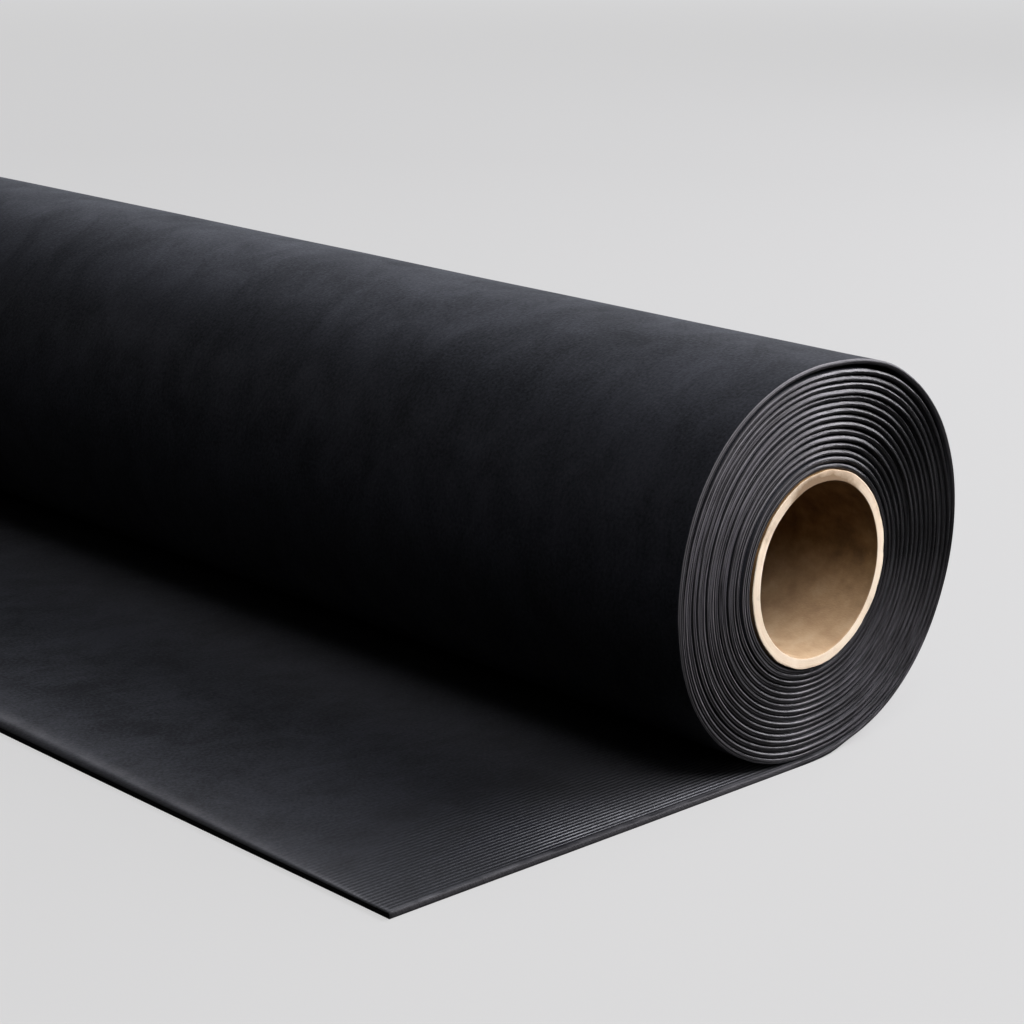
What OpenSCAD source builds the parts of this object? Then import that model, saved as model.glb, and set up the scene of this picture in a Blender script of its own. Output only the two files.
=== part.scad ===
// Roll of rubber roofing membrane on a cardboard core, lying on the floor
// with the loose end of the sheet laid out flat in front of it.
//
// X runs along the roll and Z is up. The origin is on the floor, under the
// axis of the core, halfway along the roll. The loose end points towards -Y.
//
// The winding is a spiral of half circles, joined over and under the core.
// Each half runs into the next with no step, because it starts at the height
// where the last one ended. The turns lie tighter under the core than over it.
// Behind the core they hang back, the further out the more, so a flat run at
// the top and one at the bottom lead in and out of each back half.

/* [Sheet] */
// Width of the sheet, which is the length of the roll
sheet_w = 1200; // [900:50:1500]
// Thickness of the sheet
sheet_t = 2.3; // [1.5:0.1:2.8]
// Length of the loose end, from the front of the line where the roll stands on it
loose_l = 238.5; // [180:0.5:300]

/* [Winding] */
// Number of turns on the core
turns = 16; // [10:1:20]
// Air between one turn and the next, under the core
gap_under = 0.3; // [0.2:0.01:0.8]
// Air between one turn and the next, over the core
gap_over = 0.55; // [0.2:0.01:1]
// How far the outermost turn hangs back
hang_back = 9.6; // [0:0.1:15]
// How deep the gaps between the turns are open at each end of the roll
gap_depth = 12; // [6:1:20]
// Angle over the level, behind the core, at which the hollow beside the sheet's start closes
start_hollow_angle = 45; // [20:1:60]

/* [Core tube] */
// Bore of the tube
core_bore = 76.2; // [60:0.1:100]
// Wall of the tube
core_wall = 5; // [4:0.1:6.5]
// How far the tube stands out of the winding at each end
core_proud = 1.5; // [0.5:0.5:4]
// Chamfer that breaks the tube's cut edges
core_chamfer = 0.6; // [0.2:0.1:1.2]

/* [Hidden] */
$fn = 180;

// Height from one turn to the next, under the core and over it
pitch_under = sheet_t + gap_under;
pitch_over = sheet_t + gap_over;
core_r = core_bore / 2 + core_wall;
core_l = sheet_w + 2 * core_proud;
// Height of the core's axis: every turn but the loose end's own lies under it
core_z = core_r + sheet_t + turns * pitch_under;
// Height of the whole roll
roll_h = core_z + core_r + sheet_t + (turns - 1) * pitch_over;
// Sides of the roll, as signs along Y
BACK = 1;
FRONT = -1;
// Overshoot that lets a cut pass clean through a face
over = 1;

// Heights of the outer skin of turn k, counted from the outermost one
function top_z(k) = roll_h - k * pitch_over;
function bottom_z(k) = k * pitch_under;
// A front half ends one turn further in than it starts
function half_bottom_z(k, side) = bottom_z(side == FRONT ? k + 1 : k);
function half_r(k, side) = (top_z(k) - half_bottom_z(k, side)) / 2;
function half_z(k, side) = (top_z(k) + half_bottom_z(k, side)) / 2;
function hang(k) = hang_back * (1 - k / (turns - 1));

// Half of a disc, behind or in front of its own centre
module half_disc(r, side) {
    intersection() {
        circle(r);
        translate([side == BACK ? 0 : -2 * r, -2 * r]) square([2 * r, 4 * r]);
    }
}

// All that lies within half turn k, less a skin as thick as inset
module half_turn(k, side, inset = 0) {
    r = half_r(k, side) - inset;
    translate([0, half_z(k, side)]) {
        if (side == FRONT) {
            half_disc(r, FRONT);
        } else {
            translate([hang(k), 0]) half_disc(r, BACK);
            if (hang(k) > 0) translate([0, -r]) square([hang(k), 2 * r]);
        }
    }
}

// The air between half turn k and the next one in
module half_gap(k, side) {
    difference() {
        half_turn(k, side, sheet_t);
        half_turn(k + 1, side);
    }
}

// The hollow left beside the step where the sheet starts on the core
module start_hollow() {
    intersection() {
        half_turn(turns - 1, BACK, sheet_t);
        square([2 * core_r, core_z + core_r * sin(start_hollow_angle)]);
    }
}

// Cross-section of the wound sheet with its loose end
module roll_section() {
    half_turn(0, BACK);
    half_turn(0, FRONT);
    translate([-loose_l, 0]) square([loose_l, sheet_t]);
}

// The gap that winds in between the turns, down to the core
module gap_section() {
    for (k = [0 : turns - 2]) {
        half_gap(k, BACK);
        half_gap(k, FRONT);
    }
    start_hollow();
}

// Turns a section in Y and Z into a solid along X, from start_x
module along_roll(start_x, length) {
    translate([start_x, 0, 0])
        rotate([90, 0, 90])
            linear_extrude(length) children();
}

module membrane() {
    color("#1c1d20")
        difference() {
            along_roll(-sheet_w / 2, sheet_w) roll_section();
            along_roll(-sheet_w / 2 - over, sheet_w + 2 * over)
                translate([0, core_z]) circle(core_r);
            along_roll(-sheet_w / 2 - over, gap_depth + over) gap_section();
            along_roll(sheet_w / 2 - gap_depth, gap_depth + over) gap_section();
        }
}

module core_tube() {
    bore_r = core_bore / 2;
    color("#c8a882")
        translate([-core_l / 2, 0, core_z])
            rotate([0, 90, 0])
                rotate_extrude()
                    polygon([
                        [bore_r + core_chamfer, 0],
                        [core_r - core_chamfer, 0],
                        [core_r, core_chamfer],
                        [core_r, core_l - core_chamfer],
                        [core_r - core_chamfer, core_l],
                        [bore_r + core_chamfer, core_l],
                        [bore_r, core_l - core_chamfer],
                        [bore_r, core_chamfer],
                    ]);
}

membrane();
core_tube();
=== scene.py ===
"""Looks for a roll of rubber roofing membrane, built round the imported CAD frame.

Metres, in the frame of the CAD: X runs along the roll, Z is up, and the origin is on the floor under
the core's axis. The loose end points towards -Y.

The membrane is one sheet. A row of vertices goes round its section, and the rows follow the sheet
from the cut edge of the loose end, through the winding, to its start on the core. Places along it
are given as turns: about 0 where the roll stands, and TURNS at the start on the core.
"""

import math
from functools import reduce

import bmesh
import bpy
import numpy as np
from mathutils import Matrix, Vector


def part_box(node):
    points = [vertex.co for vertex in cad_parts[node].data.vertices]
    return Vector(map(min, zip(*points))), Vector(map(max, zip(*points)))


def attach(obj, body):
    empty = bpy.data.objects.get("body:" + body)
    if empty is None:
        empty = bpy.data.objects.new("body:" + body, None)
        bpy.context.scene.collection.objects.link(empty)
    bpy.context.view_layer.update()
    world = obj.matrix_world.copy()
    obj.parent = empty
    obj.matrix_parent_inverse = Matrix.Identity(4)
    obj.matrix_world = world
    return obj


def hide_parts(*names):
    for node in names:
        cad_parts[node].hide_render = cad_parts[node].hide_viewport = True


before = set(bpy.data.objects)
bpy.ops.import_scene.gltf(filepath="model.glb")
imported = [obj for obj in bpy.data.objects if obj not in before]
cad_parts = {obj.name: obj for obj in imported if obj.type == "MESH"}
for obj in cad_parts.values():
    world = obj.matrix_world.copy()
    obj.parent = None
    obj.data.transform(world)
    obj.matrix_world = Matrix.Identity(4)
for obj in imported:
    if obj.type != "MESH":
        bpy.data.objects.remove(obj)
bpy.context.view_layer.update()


def cad_vertices(node_name):
    return [vertex.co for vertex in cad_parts[node_name].data.vertices]


# ---------------------------------------------------------------------------------------------
# Sizes, taken from the frame
# ---------------------------------------------------------------------------------------------
MM = 0.001
sheet_low, sheet_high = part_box("membrane")
core_low, core_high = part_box("core_tube")
HALF_WIDTH = sheet_high.x
LOOSE_LENGTH = -sheet_low.y
ROLL_HEIGHT = sheet_high.z
HANG_BACK = sheet_high.y - ROLL_HEIGHT / 2
CORE_R = core_high.y
CORE_HALF = core_high.x
CORE_Z = (core_low.z + core_high.z) / 2
CORE_BORE_R = min(math.hypot(place.y, place.z - CORE_Z) for place in cad_vertices("core_tube"))
CORE_WALL = CORE_R - CORE_BORE_R
# The front edge of the loose end is as high as the sheet is thick
SHEET_T = max(place.z for place in cad_vertices("membrane") if place.y < sheet_low.y + 0.01 * MM)
# Turns on the core, as in part.scad, and the height from one to the next
TURNS = 16
PITCH_UNDER = (CORE_Z - CORE_R - SHEET_T) / TURNS
PITCH_OVER = (ROLL_HEIGHT - CORE_Z - CORE_R - SHEET_T) / (TURNS - 1)

# ---------------------------------------------------------------------------------------------
# How a real winding differs from a drawn one
# ---------------------------------------------------------------------------------------------
# Stretches round the roll, in degrees from 0 at the back through 90 at the top: where each starts
# and ends, and how softly it fades
BACK = (-30, 60, 40)
ABOVE_BACK = (25, 85, 45)
TOP_AND_FRONT = (60, 200, 40)
UNDERSIDE = (-135, -50, 50)
LOOSE_ON_CORE = ((200, 235, 40), (20, 50, 40))

# The outermost turn is not quite round: shares of its radius that lean it, flatten it and square it
LEAN, FLATTEN, SQUARE = 0.0088, -0.0066, -0.0068
# Air under the outermost turn, above the back, beyond the plain gap, and how far in it is felt
OUTER_SLACK, OUTER_SLACK_TURNS = 1.1 * MM, 8.5
# Air round the core, beyond the plain fit, and the turns over which it comes in
CORE_SLACK, CORE_SLACK_TURNS = 0.6 * MM, (8, 15.3)
# Unevenness of the turns together
RIPPLE = 0.16 * MM
# Unevenness of each turn by itself: at the bottom, and more of it in two stretches
OWN_RIPPLE, OWN_RIPPLE_FRONT, OWN_RIPPLE_BACK = 0.045 * MM, 0.05 * MM, 0.09 * MM
# How far the cut edges of the turns lie back from the loose end's
EDGE_INSET = 0.5 * MM
EDGE_WANDER = 0.8 * MM
# The outermost skin has dents, inwards, about this deep
SKIN_DENTS = 0.12 * MM
# The loose end lies in waves this high, and its front edge and front corners are rounded
FLAP_WAVE = 0.35 * MM
FRONT_ROUND, FRONT_CORNER = 0.4 * MM, 1.5 * MM

# Ribs on the inner face of the sheet, along its length, from the selvage inwards
RIB_PITCH = 2.25 * MM
RIB_DEPTH = 0.6 * MM
RIB_SHARPNESS = 2.8
RIB_BAND = 170 * MM
SELVAGE = 2.5 * MM
# Where they are shallowest and where they are deepest, from the side edge and then the front edge
RIB_SIDE_FADE = (0.55 * RIB_BAND, 14 * MM)
RIB_FRONT_FADE = (10 * MM, 130 * MM)


def smoothstep(low, high, x):
    t = np.clip((x - low) / (high - low), 0, 1)
    return t * t * (3 - 2 * t)


def within(stretch, angle):
    """1 inside a stretch round the roll, fading out to 0 on each side of it."""
    start, end, fade = stretch
    from_middle = (np.degrees(angle) - (start + end) / 2 + 180) % 360 - 180
    half = (end - start) / 2
    return 1 - smoothstep(half, half + fade, np.abs(from_middle))


def waves(x, y, seed, count=9, longest=1.0, falloff=0.75):
    """Smooth noise, between about -1 and 1: a sum of plane waves, each shorter than the last."""
    rng = np.random.default_rng(seed)
    total = np.zeros(np.broadcast(x, y).shape)
    weight = 0
    for i in range(count):
        length = longest * falloff**i
        turn, phase = rng.uniform(0, 2 * math.pi, 2)
        run = x * math.cos(turn) + y * math.sin(turn)
        total = total + length * np.sin(run * 2 * math.pi / length + phase)
        weight += length**2 / 2
    return total / (1.6 * math.sqrt(weight))


def lobed(angle, turn, lobes_and_drifts, falloff):
    """A sum of lobes round the roll, as (how many, drift from turn to turn, phase)."""
    total = 0
    for lobes, drift, phase in lobes_and_drifts:
        total = total + np.sin(lobes * angle + drift * turn + phase) / lobes**falloff
    return total


# ---------------------------------------------------------------------------------------------
# The path of the sheet, in Y and Z
# ---------------------------------------------------------------------------------------------
def drawn_winding(turn):
    """Y and Z of the outer skin.

    As in the CAD, the front halves end one turn further in than they start, and the back halves hang
    back, the further out the more. The flat runs of the CAD are eased into the back halves here.
    """
    half = np.clip(np.floor(2 * turn), 0, 2 * TURNS - 1)
    front = half % 2
    whole = half // 2
    top = ROLL_HEIGHT - whole * PITCH_OVER
    bottom = (whole + front) * PITCH_UNDER
    angle = 2 * math.pi * turn - math.pi / 2
    radius = (top - bottom) / 2
    hang = HANG_BACK * (1 - whole / (TURNS - 1)) * (1 - (1 - np.clip(np.cos(angle), 0, 1)) ** 4)
    return radius * np.cos(angle) + hang, (top + bottom) / 2 + radius * np.sin(angle)


def ripple(turn):
    """Unevenness of the winding, alike from one turn to the next. It changes slowly inwards."""
    slow_lobes = ((2, 0.55, 0.4), (3, -0.8, 2.1), (5, 0.9, 4.0), (8, -1.1, 1.3), (13, 1.7, 5.2))
    return lobed(2 * math.pi * turn, turn, slow_lobes, 0.6) / 2.2


def own_ripple(turn, angle):
    """Unevenness of each turn by itself, in metres. It is least where the turns press on each other."""
    quick_lobes = ((5, 2.3, 0.3), (9, 4.1, 1.9), (14, 5.7, 3.4), (23, 7.9, 5.0))
    room = OWN_RIPPLE + OWN_RIPPLE_FRONT * within(TOP_AND_FRONT, angle)
    room = room + OWN_RIPPLE_BACK * within(BACK, angle)
    return lobed(angle, turn, quick_lobes, 0.3) / 1.6 * room


def real_winding(turn):
    """Y and Z of the outer skin with its lean, slack and unevenness."""
    y, z = drawn_winding(turn)
    z = z - CORE_Z
    radius, angle = np.hypot(y, z), np.arctan2(z, y)
    depth = np.clip(1 - turn / TURNS, 0, 1)
    oval = LEAN * np.sin(2 * angle) + FLATTEN * np.cos(2 * angle) + SQUARE * np.cos(4 * angle)
    radius = radius * (1 + oval * depth)
    under_first = smoothstep(OUTER_SLACK_TURNS, 1.0, turn) * (turn >= 1)
    radius = radius - OUTER_SLACK * within(ABOVE_BACK, angle) * under_first
    loose = sum(within(stretch, angle) for stretch in LOOSE_ON_CORE)
    radius = radius + CORE_SLACK * loose * smoothstep(*CORE_SLACK_TURNS, turn)
    # The sheet is even where it leaves the floor and at its start
    uneven = smoothstep(0.05, 0.4, turn) * smoothstep(TURNS, TURNS - 0.6, turn)
    radius = radius - (RIPPLE * (1 + ripple(turn)) - own_ripple(turn, angle)) * uneven
    return radius * np.cos(angle), CORE_Z + radius * np.sin(angle)


STEPS_PER_TURN = 128
# The turn at which the real winding is lowest, close to 0, and the run of the loose end up to there
near_floor = np.linspace(-0.04, 0.04, 401)
FIRST_TURN = near_floor[np.argmin(real_winding(near_floor)[1])]
CONTACT_Y, CONTACT_Z = (float(v) for v in real_winding(FIRST_TURN))
LOOSE_RUN = LOOSE_LENGTH + CONTACT_Y


def loose_rows():
    """Rows on the loose end: how far they are from its cut edge, and the sheet's thickness there."""
    quarter = np.linspace(0, math.pi / 2, 5)
    rounded = FRONT_ROUND * (1 - np.cos(quarter))
    near_edge = np.array([1.2, 3, 7]) * MM
    between = np.linspace(14 * MM, LOOSE_RUN - 12 * MM, 17)
    away = np.concatenate([rounded, near_edge, between, [LOOSE_RUN - 5 * MM]])
    thickness = np.full(len(away), SHEET_T)
    thickness[: len(quarter)] -= 2 * FRONT_ROUND * (1 - np.sin(quarter))
    return away, thickness


def path_rows():
    """Rows along the sheet, from the loose end's cut edge to the start on the core.

    Each has its length from that edge, its turn, the place of its outer skin in Y and Z, the normal
    that points inwards, and the sheet's thickness. The turn is -1 on the loose end.
    """
    away, thickness = loose_rows()
    steps = int(round((TURNS - FIRST_TURN) * STEPS_PER_TURN))
    turn = np.linspace(FIRST_TURN, TURNS, steps + 1)
    y, z = real_winding(turn)
    nearby = 1e-4
    before, after = real_winding(turn - nearby), real_winding(turn + nearby)
    tangent = np.stack([after[0] - before[0], after[1] - before[1]], 1)
    tangent[0] = (1, 0)
    tangent /= np.linalg.norm(tangent, axis=1)[:, None]
    inward = np.stack([-tangent[:, 1], tangent[:, 0]], 1)
    length = LOOSE_RUN + np.concatenate([[0], np.cumsum(np.hypot(np.diff(y), np.diff(z)))])

    count = len(away)
    flat = np.stack([away - LOOSE_LENGTH, np.full(count, CONTACT_Z)], 1)
    columns = {
        "length": np.concatenate([away, length]),
        "turn": np.concatenate([np.full(count, -1.0), turn]),
        "outer": np.concatenate([flat, np.stack([y, z], 1)]),
        "inward": np.concatenate([np.tile((0.0, 1.0), (count, 1)), inward]),
        "thickness": np.concatenate([thickness, np.full(len(turn), SHEET_T)]),
    }
    return [dict(zip(columns, values)) for values in zip(*columns.values())]


# ---------------------------------------------------------------------------------------------
# The section of the sheet, across its width
# ---------------------------------------------------------------------------------------------
LIP_POINTS = 7
# Depth and squareness of the cut edges, on the roll and on the loose end
WOUND_LIP = (1.0 * MM, 1.35)
LOOSE_LIP = (0.5 * MM, 5.0)
lip_angle = np.linspace(math.pi / 2, -math.pi / 2, LIP_POINTS + 2)[1:-1]
# The outer skin is fine for this many turns, a little past where the next turn covers it
SKIN_TURNS = 1.02


def lip_shape(depth, squareness):
    """Points of a lip: distance out from its foot, and place from 1 at the outer skin to -1."""
    out = np.cos(lip_angle) ** (2 / squareness)
    up = np.sign(lip_angle) * np.abs(np.sin(lip_angle)) ** (2 / squareness)
    return depth * out, up


wound_lip, loose_lip = lip_shape(*WOUND_LIP), lip_shape(*LOOSE_LIP)


def crest_shift(turn):
    """How far the crest of a cut edge lies towards the outer skin, as a share of half the thickness.

    It lies towards the inner skin, most of all under the roll, and the outermost one's towards the
    outer skin over the roll.
    """
    wander = np.sin(3.7 * turn + 1) + 0.8 * np.sin(9.1 * turn + 2) + 0.6 * np.sin(21 * turn + 4)
    outermost = smoothstep(0.15, 0.25, turn) * smoothstep(0.68, 0.56, turn)
    under = within(UNDERSIDE, 2 * math.pi * turn - math.pi / 2)
    return -0.1 - 0.35 * under + 0.1 * wander * (1 - outermost) + 0.3 * outermost


def mirrored(columns):
    return np.concatenate([-columns[::-1], columns])


def plain_columns(end):
    """Columns of vertices from the middle of the sheet outwards, where it has no ribs."""
    pitch = 12 * MM
    return np.arange(pitch / 2, end, pitch)


# Columns of vertices across the skins. The last ones are clear of where the cut edges wander
last_column = HALF_WIDTH - WOUND_LIP[0] - EDGE_INSET - EDGE_WANDER - 1.0 * MM
COLUMNS_PER_RIB = 8
rib_steps = np.arange(int(RIB_BAND / RIB_PITCH) * COLUMNS_PER_RIB)[::-1]
ribs = HALF_WIDTH - SELVAGE - rib_steps * RIB_PITCH / COLUMNS_PER_RIB
COARSE_COLUMNS = mirrored(np.array([last_column]))
SKIN_COLUMNS = mirrored(
    np.concatenate([plain_columns(last_column - 8 * MM), [last_column - 4 * MM, last_column]])
)
RIBBED_COLUMNS = mirrored(
    np.concatenate([plain_columns(ribs[0] - 6 * MM), ribs[ribs < last_column], [last_column]])
)


def wound_share(turn):
    """0 on the loose end and 1 in the winding, changing where the sheet leaves the floor."""
    return smoothstep(0.015, 0.045, turn)


def edge_inset(turn, length, side):
    """How far the cut edge lies back from the full width."""
    slow = waves(length, turn * 0.9, 11 if side > 0 else 12, count=6, longest=0.45)
    each = np.sin(turn * 2.4 + side) * 0.25
    inset = EDGE_INSET + EDGE_WANDER * np.clip(0.5 + 0.4 * slow + each, 0, 1)
    return inset * wound_share(turn) * (1 - 0.9 * smoothstep(TURNS - 3, TURNS - 1, turn))


def rib_height(x, length):
    """Height of the ribbed face under its crests.

    The ribs are shallow near the front edge, and all but fade out towards the middle of the sheet.
    """
    from_edge = HALF_WIDTH - np.abs(x)
    wave = (0.5 + 0.5 * np.cos((from_edge - SELVAGE) * 2 * math.pi / RIB_PITCH)) ** RIB_SHARPNESS
    band = from_edge + 10 * MM * waves(x, length, 21, longest=0.2)
    fade = 0.04 + 0.96 * smoothstep(*RIB_SIDE_FADE, band)
    start = smoothstep(SELVAGE - 0.1 * MM, SELVAGE + RIB_PITCH, from_edge)
    front = 0.3 + 0.7 * smoothstep(*RIB_FRONT_FADE, length)
    return -RIB_DEPTH * (1 - wave) * fade * start * front


def skin_dents(x, length):
    """Shallow unevenness of the outermost skin, inwards only."""
    deep = SKIN_DENTS * (1 + waves(x, length * 0.6, 31, longest=0.5))
    return deep * smoothstep(0, 25 * MM, HALF_WIDTH - np.abs(x))


def flap_lift(x, length):
    """How high the loose end lies off the floor."""
    lift = FLAP_WAVE * (0.5 + 0.5 * waves(x, length, 41, count=5, longest=0.5, falloff=0.6))
    return np.clip(lift, 0, 1) * smoothstep(LOOSE_RUN, LOOSE_RUN - 60 * MM, length)


def skin_chain(row, columns, foot, sign):
    """Vertices across one skin, the outer if sign is 1: X and distance off the middle of the sheet."""
    length, turn = row["length"], row["turn"]
    x = np.concatenate([[-foot[-1]], columns, [foot[1]]])
    off = np.full(len(x), sign * row["thickness"] / 2)
    if sign > 0 and 0 <= turn < SKIN_TURNS:
        ease = smoothstep(FIRST_TURN, 0.1, turn) * smoothstep(SKIN_TURNS, 0.95, turn)
        off = off - skin_dents(x, length) * ease
    if sign < 0 and turn < 0:
        off = off - rib_height(x, length)
    return np.stack([x, off], 1)


def section(row, outer_columns, inner_columns):
    """Vertices round the sheet at one row: outer skin, right lip, inner skin, left lip.

    The last column is the place across the thickness, from 1 at the outer skin to -1 at the inner.
    """
    length, turn, half = row["length"], row["turn"], row["thickness"] / 2
    wound = wound_share(turn)
    shallow = 1 - 0.5 * smoothstep(TURNS - 2.5, TURNS - 1, turn)
    lip_out = (wound * wound_lip[0] + (1 - wound) * loose_lip[0]) * shallow
    lip_up = wound * wound_lip[1] + (1 - wound) * loose_lip[1]
    lip_up = lip_up + wound * crest_shift(turn) * (1 - lip_up**2)
    lip_depth = (wound * WOUND_LIP[0] + (1 - wound) * LOOSE_LIP[0]) * shallow
    # The front corners of the loose end are rounded as its front edge is
    corner = 0 if turn >= 0 else FRONT_CORNER * (1 - math.sqrt(half / (SHEET_T / 2)))
    foot = {side: HALF_WIDTH - edge_inset(turn, length, side) - corner - lip_depth for side in (-1, 1)}
    right, left = (np.stack([side * (foot[side] + lip_out), half * lip_up], 1) for side in (1, -1))
    outer = skin_chain(row, outer_columns, foot, 1)
    inner = skin_chain(row, inner_columns, foot, -1)

    middle = row["outer"] + row["inward"] * (SHEET_T / 2)
    placed = []
    for chain in (outer, right, inner, left):
        yz = middle[None] - row["inward"][None] * chain[:, 1:]
        if turn < 0:
            yz[:, 1] += flap_lift(chain[:, 0], length)
        placed.append(np.column_stack([chain[:, 0], yz, chain[:, 1] / half]))
    return placed


# ---------------------------------------------------------------------------------------------
# The mesh of the sheet
# ---------------------------------------------------------------------------------------------
SKIN_FACE, RIBBED_FACE, CUT_FACE = range(3)
ROUND_THE_SHEET = (SKIN_FACE, CUT_FACE, RIBBED_FACE, CUT_FACE)


def stitch(a, b, xa, xb):
    """Faces between two chains of vertices along X: quads where the chains match, else triangles."""
    if len(a) == len(b):
        return [(a[i], a[i + 1], b[i + 1], b[i]) for i in range(len(a) - 1)]
    faces, i, j = [], 0, 0
    while i < len(a) - 1 or j < len(b) - 1:
        if j == len(b) - 1 or (i < len(a) - 1 and xa[i + 1] <= xb[j + 1]):
            faces.append((a[i], a[i + 1], b[j]))
            i += 1
        else:
            faces.append((a[i], b[j + 1], b[j]))
            j += 1
    return faces


def membrane_mesh():
    """Vertices, their places across the thickness and on the sheet, faces, and what face each is."""
    rows = path_rows()
    vertices, across, uvs, faces, kinds = [], [], [], [], []
    previous = None
    count = 0
    for row in rows:
        outer_columns = SKIN_COLUMNS if row["turn"] < SKIN_TURNS else COARSE_COLUMNS
        inner_columns = RIBBED_COLUMNS if row["turn"] < 0 else COARSE_COLUMNS
        chains = section(row, outer_columns, inner_columns)
        ids = []
        for chain in chains:
            ids.append(list(range(count, count + len(chain))))
            count += len(chain)
            vertices.append(chain[:, :3])
            across.append(chain[:, 3])
            uvs.append(np.column_stack([np.full(len(chain), row["length"]), chain[:, 0]]))
        outer, right_lip, inner, left_lip = ids
        outer_x, inner_x = chains[0][:, 0], chains[2][:, 0]
        right = [outer[-1], *right_lip, inner[-1]]
        left = [outer[0], *left_lip, inner[0]]
        current = ((outer, outer_x), (right, None), (inner, inner_x), (left, None))
        if previous is not None:
            for kind, (a, xa), (b, xb) in zip(ROUND_THE_SHEET, previous, current):
                made = stitch(a, b, xa, xb)
                faces += made
                kinds += [kind] * len(made)
        if row is rows[0] or row is rows[-1]:
            made = stitch(outer, inner, outer_x, inner_x) + [tuple(right), tuple(left)]
            faces += made
            kinds += [CUT_FACE] * len(made)
        previous = current
    return np.concatenate(vertices), np.concatenate(across), np.concatenate(uvs), faces, kinds


def mesh_object(name, vertices, faces, kinds, uvs, materials, across=None):
    mesh = bpy.data.meshes.new(name)
    mesh.from_pydata(vertices.tolist(), [], faces)
    mesh.polygons.foreach_set("material_index", kinds)
    for material in materials:
        mesh.materials.append(material)
    corners = np.zeros(len(mesh.loops), np.int32)
    mesh.loops.foreach_get("vertex_index", corners)
    layer = mesh.uv_layers.new(name="sheet")
    layer.uv.foreach_set("vector", uvs[corners].astype(np.float32).ravel())
    if across is not None:
        values = mesh.attributes.new("across", "FLOAT", "POINT").data
        values.foreach_set("value", across.astype(np.float32))
    work = bmesh.new()
    work.from_mesh(mesh)
    bmesh.ops.recalc_face_normals(work, faces=work.faces)
    for face in work.faces:
        face.smooth = True
    work.to_mesh(mesh)
    work.free()
    mesh.update()
    made = bpy.data.objects.new(name, mesh)
    bpy.context.scene.collection.objects.link(made)
    return made


# ---------------------------------------------------------------------------------------------
# The cardboard core
# ---------------------------------------------------------------------------------------------
PAPER_FACE, SAWN_FACE = range(2)
CORE_AROUND = 192
CORE_CORNER = 0.4 * MM
# The tube's ends lie this far back from the CAD's, and are worn as deep as this
CORE_END_INSET = 0.5 * MM
CORE_WORN_DEPTH = 6 * MM
# How much is worn off the sawn face, the outside and the bore
FACE_WEAR, OUTSIDE_WEAR, BORE_WEAR = 0.12 * MM, 0.16 * MM, 0.1 * MM
# Rings of vertices down the bore, as shares of half the tube's length, closer towards the end
BORE_RINGS = (1.0, 0.8, 0.6, 0.45, 0.33, 0.24, 0.17, 0.12, 0.08, 0.05, 0.03, 0.015)


def core_profile():
    """One end of the tube, from the middle of the bore round to the middle of the outside.

    Each point is how far it lies in from the end and out from the bore. The numbers of the points
    between which the face is sawn come with them.
    """
    bore = [(CORE_HALF * share, 0.0) for share in BORE_RINGS] + [(4 * MM, 0.0), (1.5 * MM, 0.0)]
    quarter = np.linspace(0, math.pi / 2, 5)
    inner_lip = [(CORE_CORNER * (1 - math.sin(q)), CORE_CORNER * (1 - math.cos(q))) for q in quarter]
    face = [(0.0, CORE_WALL * share) for share in np.linspace(0.16, 0.84, 9)]
    outer_lip = [(inset, CORE_WALL - out) for inset, out in reversed(inner_lip)]
    outside = [(2 * MM, CORE_WALL), (8 * MM, CORE_WALL), (CORE_HALF, CORE_WALL)]
    profile = bore + inner_lip + face + outer_lip + outside
    return profile, len(bore) + 3, len(profile) - len(outside) - 1


def core_ring(angle, side, inset, out):
    """A ring round the tube. Near its end it is frayed, and a little out of round and of square."""
    share = out / CORE_WALL
    near = smoothstep(CORE_WORN_DEPTH, 0, inset)
    fibre = waves(angle * 0.04, out, 51 + side, count=10, longest=0.05)
    tear = waves(angle * 0.04, 0.3, 53 + side, count=14, longest=0.02)
    back = near * FACE_WEAR * np.clip(1 + fibre, 0, 2)
    radius = CORE_BORE_R + out - near * OUTSIDE_WEAR * (1 + tear) * share
    radius = radius + near * BORE_WEAR * (1 + fibre) * (1 - share)
    x = side * (CORE_HALF - near * CORE_END_INSET - inset - back)
    return np.column_stack([x, radius * np.cos(angle), CORE_Z + radius * np.sin(angle)])


def core_mesh():
    """The tube as rings of vertices. Its two halves share the rings in the middle."""
    profile, first_sawn, last_sawn = core_profile()
    angle = np.linspace(0, 2 * math.pi, CORE_AROUND, endpoint=False)
    last = len(profile) - 1
    rings, place = [], {}
    for side in (1, -1):
        for k, (inset, out) in enumerate(profile):
            if side < 0 and k in (0, last):
                place[side, k] = place[1, k]
                continue
            place[side, k] = len(rings)
            rings.append(core_ring(angle, side, inset, out))
    faces, kinds = [], []
    for side in (1, -1):
        for k in range(last):
            a, b = place[side, k] * CORE_AROUND, place[side, k + 1] * CORE_AROUND
            for j in range(CORE_AROUND):
                n = (j + 1) % CORE_AROUND
                faces.append((a + j, a + n, b + n, b + j))
                kinds.append(SAWN_FACE if first_sawn <= k < last_sawn else PAPER_FACE)
    vertices = np.concatenate(rings)
    return vertices, vertices[:, :2], faces, kinds


# ---------------------------------------------------------------------------------------------
# Nodes
# ---------------------------------------------------------------------------------------------
def node(tree, kind, inputs=None, **settings):
    """A new shader node. Its inputs are linked where they are sockets and set where they are values."""
    made = tree.nodes.new("ShaderNode" + kind)
    for name, value in settings.items():
        setattr(made, name, value)
    for name, value in (inputs or {}).items():
        socket = made.inputs[name]
        if isinstance(value, bpy.types.NodeSocket):
            tree.links.new(value, socket)
        else:
            socket.default_value = value
    return made


def math_node(tree, operation, *values):
    return node(tree, "Math", dict(enumerate(values)), operation=operation).outputs[0]


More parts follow.
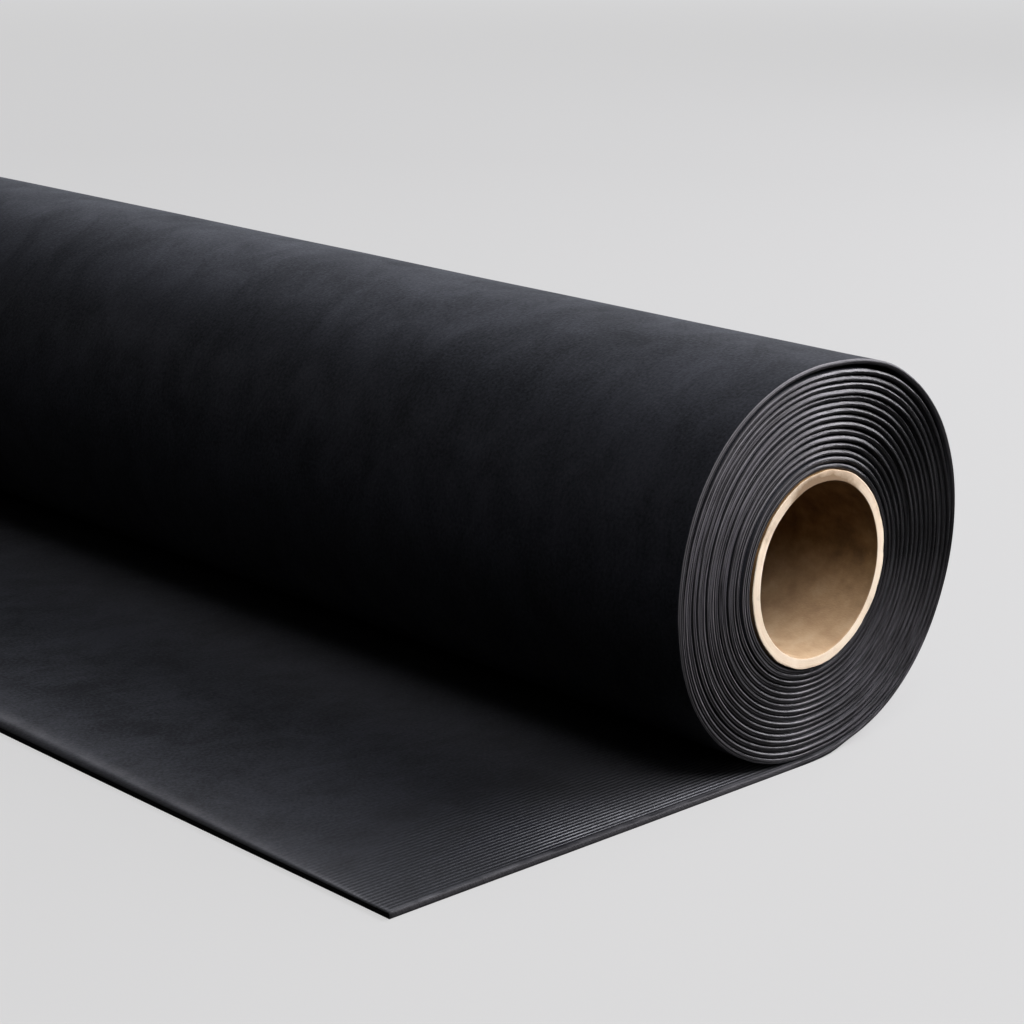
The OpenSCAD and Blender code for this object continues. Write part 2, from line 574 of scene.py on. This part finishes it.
def joined(tree, operation, values):
    return reduce(lambda a, b: math_node(tree, operation, a, b), values)


def plus(tree, *values):
    return joined(tree, "ADD", values)


def times(tree, *values):
    return joined(tree, "MULTIPLY", values)


def greatest(tree, *values):
    return joined(tree, "MAXIMUM", values)


def minus(tree, a, b):
    return math_node(tree, "SUBTRACT", a, b)


def divided(tree, a, b):
    return math_node(tree, "DIVIDE", a, b)


def apart(tree, a, b):
    return math_node(tree, "ABSOLUTE", minus(tree, a, b))


def straight_line(tree, value, slope, start):
    return math_node(tree, "MULTIPLY_ADD", value, slope, start)


def as_share(tree, value):
    """A value between -1 and 1 as one between 0 and 1."""
    return straight_line(tree, value, 0.5, 0.5)


def without(tree, value, amount=1.0):
    """1 where the value is 0, and less than that by the amount where it is 1."""
    return straight_line(tree, value, -amount, 1.0)


def vector(tree, x, y, z=0.0):
    return node(tree, "CombineXYZ", {"X": x, "Y": y, "Z": z}).outputs[0]


def scaled(tree, place, x, y, z):
    return node(tree, "VectorMath", {0: place, 1: (x, y, z)}, operation="MULTIPLY").outputs[0]


def length_of(tree, place):
    return node(tree, "VectorMath", {0: place}, operation="LENGTH").outputs["Value"]


def noise(tree, place, scale, detail=3.0, roughness=0.5, distortion=0.0):
    inputs = {"Vector": place, "Scale": scale, "Detail": detail}
    inputs |= {"Roughness": roughness, "Distortion": distortion}
    return node(tree, "TexNoise", inputs).outputs["Fac"]


def neutral(level):
    return (level, level, level)


def ramp(tree, factor, *stops, over=None):
    """A ramp of (position, value or colour) stops. Where over is given, positions are shares of it."""
    if over is not None:
        factor = divided(tree, factor, over)
    made = node(tree, "ValToRGB", {"Fac": factor})
    elements = made.color_ramp.elements
    while len(elements) < len(stops):
        elements.new(0.5)
    for element, (position, colour) in zip(elements, stops):
        element.position = position
        element.color = (*(colour if isinstance(colour, tuple) else neutral(colour)), 1)
    return made.outputs["Color"]


def mixed(tree, factor, a, b):
    """A colour between a and b."""
    made = node(tree, "Mix", data_type="RGBA")
    sockets = [socket for socket in made.inputs if socket.enabled]
    for socket, value in zip(sockets, (factor, a, b)):
        if isinstance(value, bpy.types.NodeSocket):
            tree.links.new(value, socket)
        else:
            socket.default_value = (*value, 1)
    return next(socket for socket in made.outputs if socket.enabled)


def object_place(tree):
    return node(tree, "TexCoord").outputs["Object"]


def round_the_axis(tree):
    """Distance from the roll's axis, the backward and upward parts of the direction from it, and X."""
    place = node(tree, "SeparateXYZ", {"Vector": object_place(tree)}).outputs
    y, z = place["Y"], minus(tree, place["Z"], CORE_Z)
    radius = length_of(tree, vector(tree, y, z))
    return radius, divided(tree, y, radius), divided(tree, z, radius), place["X"]


def facing(tree, back, up, direction):
    """How nearly a place lies in a direction from the axis: 1 where it does, 0 opposite."""
    return as_share(tree, straight_line(tree, up, direction[1], times(tree, back, direction[0])))


def on_the_sheet(tree):
    """The place on the sheet as a vector, and its parts: from the loose end's cut edge, and across."""
    uv = node(tree, "UVMap", uv_map="sheet").outputs["UV"]
    parts = node(tree, "SeparateXYZ", {"Vector": uv}).outputs
    return uv, parts["X"], parts["Y"]


# ---------------------------------------------------------------------------------------------
# Materials
# ---------------------------------------------------------------------------------------------
# Tints of what the faces and the cut edges of the sheet mirror
FACE_TINT = (0.93, 0.95, 1)
CUT_TINT = (1, 0.95, 1)
BUMP_DEPTH = 0.3 * MM
# Directions from the axis in which the ends of the roll are rubbed duller and painted with a grey sheen:
# their backward and upward parts
UPPER_FRONT = (-0.835, 0.55)
STRAIGHT_FRONT = (-0.98, 0.2)
LOWER_BACK = (0.64, -0.77)


def new_material(name, roughness=0.5, specular=0.5, tint=(1, 1, 1)):
    material = bpy.data.materials.new(name)
    material.use_nodes = True
    shader = material.node_tree.nodes["Principled BSDF"]
    shader.inputs["Roughness"].default_value = roughness
    shader.inputs["Specular IOR Level"].default_value = specular
    shader.inputs["Specular Tint"].default_value = (*tint, 1)
    return material, material.node_tree, shader


def feed(tree, shader, inputs):
    for name, value in inputs.items():
        tree.links.new(value, shader.inputs[name])


def add_bump(tree, shader, height, strength):
    made = node(tree, "Bump", {"Height": height, "Strength": strength, "Distance": BUMP_DEPTH})
    feed(tree, shader, {"Normal": made.outputs["Normal"]})


def add_grain(tree, shader, uv, strength):
    """The fine grain of both faces of the sheet."""
    add_bump(tree, shader, noise(tree, uv, 700, detail=3, roughness=0.6), strength)


def chalk(tree, uv):
    """How chalky the sheet is, around 0.5: wisps along its length, clouds and a fine grain."""
    wisps = noise(tree, scaled(tree, uv, 30, 46, 0), 1, detail=7, roughness=0.7, distortion=0.8)
    clouds = noise(tree, uv, 12, detail=7, roughness=0.68, distortion=0.5)
    grain = noise(tree, uv, 620, detail=3, roughness=0.7)
    return plus(tree, times(tree, wisps, 0.3), times(tree, clouds, 0.32), times(tree, grain, 0.38))


def rubber_skin():
    """The outer face: matt black, with chalky wisps along the sheet and a fine grain."""
    material, tree, shader = new_material("rubber_skin", tint=FACE_TINT)
    bare, chalky = (0.0038, 0.0041, 0.0056), (0.0155, 0.016, 0.0212)
    uv = on_the_sheet(tree)[0]
    dust = chalk(tree, uv)
    feed(tree, shader, {
        "Base Color": ramp(tree, dust, (0.4, bare), (0.6, chalky)),
        "Roughness": ramp(tree, dust, (0.4, 0.62), (0.6, 0.48)),
        "Specular IOR Level": ramp(tree, dust, (0.4, 0.2), (0.6, 0.3)),
    })
    add_grain(tree, shader, uv, 0.45)
    return material


def rubber_ribbed():
    """The inner face, which shows on top of the loose end.

    It is paler along its edges and near the roll, with dust and painted light, and rubbed smooth along
    the ribs.
    """
    material, tree, shader = new_material("rubber_ribbed", tint=FACE_TINT)
    bare, chalky = (0.0022, 0.0024, 0.0034), (0.0125, 0.013, 0.0175)
    thin_dust_and_light, thick_dust_and_light = (0.04, 0.0395, 0.044), (0.085, 0.084, 0.092)
    rim_dust_and_highlight, valley_painted_shade = (0.095, 0.093, 0.1), (0.002, 0.002, 0.0025)
    uv, length, across_sheet = on_the_sheet(tree)
    from_side = minus(tree, HALF_WIDTH, math_node(tree, "ABSOLUTE", across_sheet))
    blend = chalk(tree, uv)

    # Dust and painted light along the side edges, on the front edge and near the roll
    wander = straight_line(tree, blend, 0.08, -0.04)
    sides = ramp(tree, minus(tree, from_side, wander), (0.0, 1.0), (0.35, 0.3), (1.0, 0.0), over=200 * MM)
    front_band_at = plus(tree, length, times(tree, wander, 0.15))
    front_dust_and_light = ramp(tree, front_band_at, (0.1, 0.62), (0.22, 0.25), (0.6, 0.0), over=60 * MM)
    near_roll = ramp(tree, length, (0.4, 0.0), (0.85, 1.0), over=LOOSE_LENGTH)
    side_dust_and_light = times(tree, sides, straight_line(tree, near_roll, 0.85, 0.12))
    dust = greatest(tree, side_dust_and_light, times(tree, near_roll, 0.3), front_dust_and_light)
    colour = ramp(tree, blend, (0.42, bare), (0.58, chalky))
    colour = mixed(tree, dust, colour, mixed(tree, near_roll, thin_dust_and_light, thick_dust_and_light))

    # The valleys between the ribs are painted black, a painted shade
    phase = divided(tree, minus(tree, from_side, SELVAGE), RIB_PITCH)
    crest = math_node(tree, "COSINE", times(tree, phase, 2 * math.pi))
    valley = ramp(tree, as_share(tree, crest), (0.3, 1.0), (0.85, 0.0))
    ribbed = ramp(tree, from_side, (SELVAGE, 1.0), (RIB_SIDE_FADE[0], 0.0))
    colour = mixed(tree, times(tree, valley, ribbed), colour, valley_painted_shade)

    # Thick dust and a painted highlight on the very edges, in patches. The front edge is painted black, a
    # painted shade as if it were bent down a little, less so at its corners, and the pale band lies
    # behind that
    corner_taper = ramp(tree, from_side, (20 * MM, 0.25), (220 * MM, 1.0))
    from_front = divided(tree, length, corner_taper)
    side_rim = ramp(tree, from_side, (1.4 * MM, 1.0), (3.4 * MM, 0.0))
    front_rim = ramp(tree, from_front, (5 * MM, 0.0), (8 * MM, 0.5), (16 * MM, 0.0))
    patchy = ramp(tree, noise(tree, uv, 60, detail=4, roughness=0.6), (0.4, 0.3), (0.6, 1.0))
    colour = mixed(tree, times(tree, greatest(tree, front_rim, side_rim), patchy), colour, rim_dust_and_highlight)
    front_edge_shade = ramp(tree, from_front, (3 * MM, 1.0), (6 * MM, 0.0))
    colour = mixed(tree, front_edge_shade, colour, neutral(0.002))

    # Smooth along the sides, but for the front
    rubbed = ramp(tree, length, (0.12, 0.0), (0.42, 1.0), over=240 * MM)
    smooth = times(tree, sides, rubbed, 0.26)
    specular = ramp(tree, blend, (0.42, 0.3), (0.58, 0.5))
    feed(tree, shader, {
        "Base Color": colour,
        "Roughness": minus(tree, ramp(tree, blend, (0.42, 0.7), (0.58, 0.54)), smooth),
        "Specular IOR Level": mixed(tree, front_edge_shade, specular, neutral(0)),
    })
    add_grain(tree, shader, uv, 0.25)
    return material


def worn_and_highlit_places(tree, uv, across, back, up):
    """How pale the cut edges are along their crests, with wear and painted highlights, and the painted
    highlight lines in front.
    """
    # The crest wanders across the edge. Distances from it are shares of the thickness
    crest_at = straight_line(tree, noise(tree, scaled(tree, uv, 7, 0, 0), 1, detail=3), 0.6, 0.02)
    off_crest = apart(tree, as_share(tree, across), crest_at)
    crest = ramp(tree, off_crest, (0.03, 1.0), (0.12, 0.28), (0.38, 0.0))
    # The painted highlight is strongest a little above the axis, then at the bottom, and weaker towards
    # the back
    heights = (0.0, 0.6), (0.35, 0.4), (0.52, 0.3), (0.68, 1.0), (0.95, 0.3)
    by_height = ramp(tree, as_share(tree, up), *heights)
    by_depth = ramp(tree, as_share(tree, back), (0.45, 1.0), (0.95, 0.34))
    patches = noise(tree, scaled(tree, uv, 11, 0, 0), 1, detail=6, roughness=0.6)
    patchy = ramp(tree, patches, (0.33, 0.15), (0.62, 1.0))
    worn_and_highlit = times(tree, crest, by_height, by_depth, patchy)
    # The thin painted highlight lines, two to a turn
    line = ramp(tree, off_crest, (0.03, 1.0), (0.11, 0.0))
    second_line = ramp(tree, apart(tree, off_crest, 0.42), (0.03, 0.8), (0.1, 0.0))
    in_front = ramp(tree, as_share(tree, back), (0.22, 0.95), (0.45, 0.0))
    return worn_and_highlit, times(tree, greatest(tree, line, second_line), in_front, patchy)


def rubber_cut():
    """The cut edges: dark, pale along a crest with wear and painted highlights, and painted with a grey
    sheen where the ends are rubbed duller.
    """
    material, tree, shader = new_material("rubber_cut", tint=CUT_TINT)
    clean_dark, clean_pale = (0.0006, 0.0006, 0.0007), (0.003, 0.003, 0.0034)
    sheen_dark, sheen_pale = (0.005, 0.0047, 0.0055), (0.066, 0.061, 0.071)
    loose_dark, loose_pale = (0.018, 0.0172, 0.019), (0.036, 0.035, 0.038)
    outermost_sheen_grey, worn_highlight_grey = (0.042, 0.04, 0.044), (0.205, 0.195, 0.21)
    uv, along, _ = on_the_sheet(tree)
    across = node(tree, "Attribute", attribute_name="across").outputs["Fac"]
    radius, back, up, x = round_the_axis(tree)
    # Fine lines that follow the turns
    lines_at = vector(tree, times(tree, along, 45), times(tree, radius, 1500), times(tree, x, 900))
    lines = noise(tree, lines_at, 1, detail=4, roughness=0.6)

    # Where the end is rubbed duller and painted with a grey sheen
    upper_front = ramp(tree, facing(tree, back, up, UPPER_FRONT), (0.78, 0.0), (0.97, 1.0))
    straight_front = ramp(tree, facing(tree, back, up, STRAIGHT_FRONT), (0.7, 0.0), (0.9, 1.0))
    lower_back = ramp(tree, facing(tree, back, up, LOWER_BACK), (0.85, 0.0), (0.98, 1.0))
    rubbed = greatest(tree, upper_front, times(tree, lower_back, 0.6))
    # The outermost turn is cleaner in front, and dull over the top, with a painted grey sheen there:
    # metres past the loose end's length
    clean_run = (0.24, 0.0), (0.3, 1.0), (0.52, 1.0), (0.56, 0.0)
    dull_sheen_run = (0.15, 0.0), (0.22, 1.0), (0.29, 1.0), (0.37, 0.2), (0.54, 0.0)
    first_clean, first_dull_sheen = (
        ramp(tree, along, *((LOOSE_LENGTH + length, share) for length, share in run))
        for run in (clean_run, dull_sheen_run)
    )

    # The painted grey sheen is weaker near the core, and not in the grooves between the turns, but for
    # the lower back
    from_core = ramp(tree, minus(tree, radius, CORE_R), (1 * MM, 0.4), (14 * MM, 1.0))
    ridge = ramp(tree, math_node(tree, "ABSOLUTE", across), (0.55, 1.0), (0.95, 0.0))
    ridge = greatest(tree, ridge, lower_back)
    grey_share = times(tree, rubbed, without(tree, first_clean, 0.7), from_core, ridge)
    base_tone = ramp(tree, lines, (0.35, clean_dark), (0.7, clean_pale))
    grey = ramp(tree, lines, (0.42, sheen_dark), (0.6, sheen_pale))
    face = mixed(tree, grey_share, base_tone, grey)
    # Painted grey sheen on the outermost turn over the top
    face = mixed(tree, times(tree, first_dull_sheen, 0.8), face, outermost_sheen_grey)

    # Pale crests, with wear and painted highlights, where it isn't rubbed, thin painted highlight lines,
    # and a painted highlight on the corner of the outermost turn in front
    worn_and_highlit, highlight_lines = worn_and_highlit_places(tree, uv, across, back, up)
    worn_and_highlit = times(tree, worn_and_highlit, without(tree, rubbed), without(tree, straight_front, 0.8))
    corner = ramp(tree, as_share(tree, across), (0.84, 0.0), (0.95, 1.0))
    worn_and_highlit = greatest(tree, worn_and_highlit, highlight_lines, times(tree, corner, first_clean, 0.62))
    wound = mixed(tree, worn_and_highlit, face, worn_highlight_grey)

    # The loose end's own edges are dull grey, and painted black low down and at the front, a painted
    # shade
    loose = ramp(tree, along, (LOOSE_LENGTH - 12 * MM, 1.0), (LOOSE_LENGTH - 2 * MM, 0.0))
    front_end_shade = ramp(tree, along, (1 * MM, 1.0), (4 * MM, 0.0))
    low_shade = ramp(tree, across, (0.1, 0.0), (0.7, 0.8))
    loose_edge = ramp(tree, lines, (0.35, loose_dark), (0.7, loose_pale))
    loose_edge = mixed(tree, greatest(tree, front_end_shade, low_shade), loose_edge, neutral(0.002))

    # Matt where it is rubbed flat
    flat_front = times(tree, greatest(tree, upper_front, straight_front), 0.9)
    flat = greatest(tree, lower_back, times(tree, first_dull_sheen, 0.8), flat_front)
    glossy = ramp(tree, lines, (0.3, 0.36), (0.7, 0.2))
    dull = ramp(tree, lines, (0.3, 0.55), (0.7, 0.38))
    roughness = mixed(tree, flat, mixed(tree, rubbed, glossy, dull), neutral(0.62))
    feed(tree, shader, {
        "Base Color": mixed(tree, loose, wound, loose_edge),
        "Roughness": mixed(tree, loose, roughness, neutral(0.7)),
        "Specular IOR Level": mixed(tree, flat, neutral(0.5), neutral(0.2)),
    })
    add_bump(tree, shader, lines, 0.8)
    return material


def cardboard_bore():
    """Kraft paper inside the tube, with painted light along the bottom and painted shade above it."""
    material, tree, shader = new_material("cardboard_bore", roughness=0.75, specular=0.25)
    kraft_shaded_tones = (0.085, 0.045, 0.0155), (0.155, 0.085, 0.031), (0.225, 0.133, 0.055)
    kraft_lit_tones = (0.335, 0.215, 0.125), (0.425, 0.288, 0.172), (0.49, 0.355, 0.23)
    place = object_place(tree)
    clouds = noise(tree, place, 95, detail=5, roughness=0.6)
    base_tone, lit_kraft = (ramp(tree, clouds, *zip((0.3, 0.52, 0.72), tones)) for tones in (kraft_shaded_tones, kraft_lit_tones))
    up = round_the_axis(tree)[2]
    # Painted light: paler towards the bottom of the bore, and painted shade above
    bottom = ramp(tree, as_share(tree, up), (0.0, 1.0), (0.5, 0.0))
    feed(tree, shader, {"Base Color": mixed(tree, bottom, base_tone, lit_kraft)})
    fibres = noise(tree, scaled(tree, place, 700, 1500, 1500), 1, detail=3)
    add_bump(tree, shader, fibres, 0.3)
    return material


def cardboard_cut():
    """The sawn end of the tube: pale, with its plies just showing, and darker brown in patches on top."""
    material, tree, shader = new_material("cardboard_cut", roughness=0.8, specular=0.2)
    pale = (0.56, 0.41, 0.27), (0.77, 0.615, 0.465), (0.85, 0.73, 0.585)
    shaded_tone, top_dark_tone = (0.45, 0.32, 0.215), (0.2, 0.125, 0.07)
    place = object_place(tree)
    radius, back, up, _ = round_the_axis(tree)
    plies_at = scaled(tree, vector(tree, back, up, times(tree, radius, 1500)), 2.5, 2.5, 1)
    plies = noise(tree, plies_at, 1, detail=3)
    clouds = noise(tree, place, 60, detail=4)
    blend = plus(tree, times(tree, plies, 0.45), times(tree, clouds, 0.55))
    colour = ramp(tree, blend, *zip((0.3, 0.45, 0.7), pale))
    shaded = times(tree, ramp(tree, up, (0.45, 0.0), (0.97, 1.0)), 0.42)
    colour = mixed(tree, shaded, colour, shaded_tone)
    # Darker brown in patches on top, most of all towards the bore
    from_bore = minus(tree, radius, CORE_BORE_R)
    inner = ramp(tree, from_bore, (0.1, 1.0), (0.9, 0.35), over=CORE_WALL)
    on_top = times(tree, ramp(tree, up, (0.72, 0.0), (0.97, 0.68)), inner)
    patches = noise(tree, place, 75, detail=5, roughness=0.6)
    darker_on_top = ramp(tree, plus(tree, patches, on_top), (0.58, 0.0), (0.95, 0.9))
    feed(tree, shader, {"Base Color": mixed(tree, darker_on_top, colour, top_dark_tone)})
    add_bump(tree, shader, noise(tree, place, 2500, detail=3), 0.4)
    return material


# ---------------------------------------------------------------------------------------------
# Camera, stage and light
# ---------------------------------------------------------------------------------------------
# The camera stands off the front of the near end, looks back and down at it, and leans a little
CAMERA_PLACE = (1.2399, -0.8048, 0.3939)
CAMERA_AZIMUTH, CAMERA_ELEVATION, CAMERA_ROLL = (math.radians(a) for a in (45.6943, 15.5916, 1.2))
CAMERA_LENS, CAMERA_SENSOR = 89.35, 36

FLOOR_SIZE = 300
# The floor's tones from under the roll outwards, as shares of its reach
FLOOR_REACH = 10.0
FLOOR_TONES = ((0.15, (0.632, 0.629, 0.631)), (0.42, (0.74, 0.738, 0.742)), (0.9, (0.86, 0.86, 0.87)))
# The share of a tone that the camera sees whatever light falls there. The rest takes the shadow
FLOOR_GLOW = 0.86
# What the floor sends back to the object, as in a shaded studio, the light from all round, and the
# tone that the camera sees behind the floor
FLOOR_BOUNCE = 0.022
WORLD_LIGHT = 0.011
WORLD_TONE = (0.74, 0.74, 0.75)


def add_camera():
    data = bpy.data.cameras.new("camera")
    data.lens, data.sensor_width = CAMERA_LENS, CAMERA_SENSOR
    data.clip_start, data.clip_end = 0.05, 100
    camera = bpy.data.objects.new("camera", data)
    bpy.context.scene.collection.objects.link(camera)
    level = math.cos(CAMERA_ELEVATION)
    right, front = math.sin(CAMERA_AZIMUTH) * level, math.cos(CAMERA_AZIMUTH) * level
    away = Vector((right, -front, math.sin(CAMERA_ELEVATION)))
    turn = (-away).to_track_quat("-Z", "Y").to_matrix().to_4x4() @ Matrix.Rotation(CAMERA_ROLL, 4, "Z")
    camera.matrix_world = Matrix.Translation(CAMERA_PLACE) @ turn
    bpy.context.scene.camera = camera


def add_floor():
    """A pale floor. The camera sees it mostly at its own tone, and the object sees it darker."""
    bpy.ops.mesh.primitive_plane_add(size=FLOOR_SIZE, location=(0, 0, 0))
    floor = bpy.context.object
    floor.name = "floor"
    material = bpy.data.materials.new("floor")
    material.use_nodes = True
    tree = material.node_tree
    tree.nodes.clear()
    direct = node(tree, "LightPath").outputs["Is Camera Ray"]
    tone = ramp(tree, length_of(tree, object_place(tree)), *FLOOR_TONES, over=FLOOR_REACH)
    plain = node(tree, "BsdfDiffuse", {"Color": mixed(tree, direct, neutral(FLOOR_BOUNCE), tone)})
    glow = node(tree, "Emission", {"Color": tone, "Strength": 1.0})
    share = times(tree, direct, FLOOR_GLOW)
    surface = node(tree, "MixShader", {0: share, 1: plain.outputs[0], 2: glow.outputs[0]})
    node(tree, "OutputMaterial", {"Surface": surface.outputs[0]})
    floor.data.materials.append(material)


def place_lamp(name, data, aim, towards, distance):
    lamp = bpy.data.objects.new(name, data)
    towards = Vector(towards).normalized()
    lamp.location = Vector(aim) + towards * distance
    lamp.rotation_mode = "QUATERNION"
    lamp.rotation_quaternion = (-towards).to_track_quat("-Z", "Y")
    lamp.visible_camera = False
    bpy.context.scene.collection.objects.link(lamp)
    return lamp


def add_area(name, aim, towards, distance, size, radiance, tint=(1, 1, 1)):
    """A soft rectangular lamp that shines on aim from a direction. Its radiance is that of its face."""
    data = bpy.data.lights.new(name, "AREA")
    data.shape = "RECTANGLE"
    data.size, data.size_y = size
    data.energy = radiance * math.pi * size[0] * size[1]
    data.color = tint
    place_lamp(name, data, aim, towards, distance)


def add_spot(name, aim, towards, distance, reach, irradiance, softness=0.05):
    """A narrow lamp that lights a circle of that radius round aim."""
    data = bpy.data.lights.new(name, "SPOT")
    data.spot_size = 2 * math.atan(reach / distance)
    data.spot_blend = 0.5
    data.shadow_soft_size = softness
    data.energy = irradiance * 4 * math.pi * distance**2
    return place_lamp(name, data, aim, towards, distance)


def add_world():
    world = bpy.data.worlds.new("world")
    world.use_nodes = True
    bpy.context.scene.world = world
    tree = world.node_tree
    direct = node(tree, "LightPath").outputs["Is Camera Ray"]
    colour = ramp(tree, direct, (0, WORLD_LIGHT), (1, WORLD_TONE))
    feed(tree, tree.nodes["Background"], {"Color": colour})


def add_lamps():
    near_end, far_end = Vector((HALF_WIDTH, 0, CORE_Z)), Vector((-HALF_WIDTH, 0, CORE_Z))
    near_half, middle = Vector((0.55, 0, CORE_Z)), Vector((0.25, 0, CORE_Z))
    pale_blue, blue = (0.96, 0.96, 1.0), (0.84, 0.88, 1.0)
    # Softboxes over the near end, behind it and to its right
    add_area("softbox_high", near_end, (0.5, -0.2, 0.84), 2.2, (1.2, 1.2), 8.5)
    add_area("softbox_back", near_end, (0.3, 0.66, 0.65), 2.5, (2.4, 1.3), 12, pale_blue)
    add_area("softbox_rear", near_end, (0.1, 0.95, 0.27), 2.5, (2.0, 0.9), 6, pale_blue)
    add_area("fill_end", near_end, (0.7, 0.15, 0.65), 2.2, (1.0, 1.0), 2.5)
    add_area("fill_right", near_end, (0.93, -0.1, 0.3), 2.5, (1.4, 0.8), 1.0)
    # One spot into the bore, and one on the far end, which the glossy cut edges there don't mirror
    add_spot("into_bore", near_end, (0.7, -0.4, 0.6), 2.5, 30 * MM, 0.9)
    spot = add_spot("far_end", far_end, (-0.9, -0.2, 0.45), 2.5, 0.12, 4.0, softness=0.06)
    spot.visible_glossy = False
    # Wide dim faces to the left, which the skin mirrors
    add_area("wall_back", middle, (-0.7, 0.66, 0.15), 5.1, (3.8, 1.5), 0.9, blue)
    add_area("wall_left", near_half, (-0.7, 0.5, 0.5), 3.0, (1.8, 1.0), 1.2, blue)
    add_area("ceiling_left", near_half, (-0.7, 0.1, 0.7), 3.0, (1.6, 1.2), 0.9, blue)
    add_area("front_left", middle, (-0.7, -0.5, 0.44), 3.0, (1.6, 1.2), 0.3)


# ---------------------------------------------------------------------------------------------
# The scene
# ---------------------------------------------------------------------------------------------
add_camera()

vertices, across, uvs, faces, kinds = membrane_mesh()
finishes = [rubber_skin(), rubber_ribbed(), rubber_cut()]
membrane = mesh_object("membrane_sheet", vertices, faces, kinds, uvs, finishes, across)
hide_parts("membrane")
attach(membrane, "root")

vertices, uvs, faces, kinds = core_mesh()
core = mesh_object("cardboard_core", vertices, faces, kinds, uvs, [cardboard_bore(), cardboard_cut()])
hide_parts("core_tube")
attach(core, "root")

add_floor()
add_world()
add_lamps()
bpy.context.scene.view_settings.view_transform = "Standard"
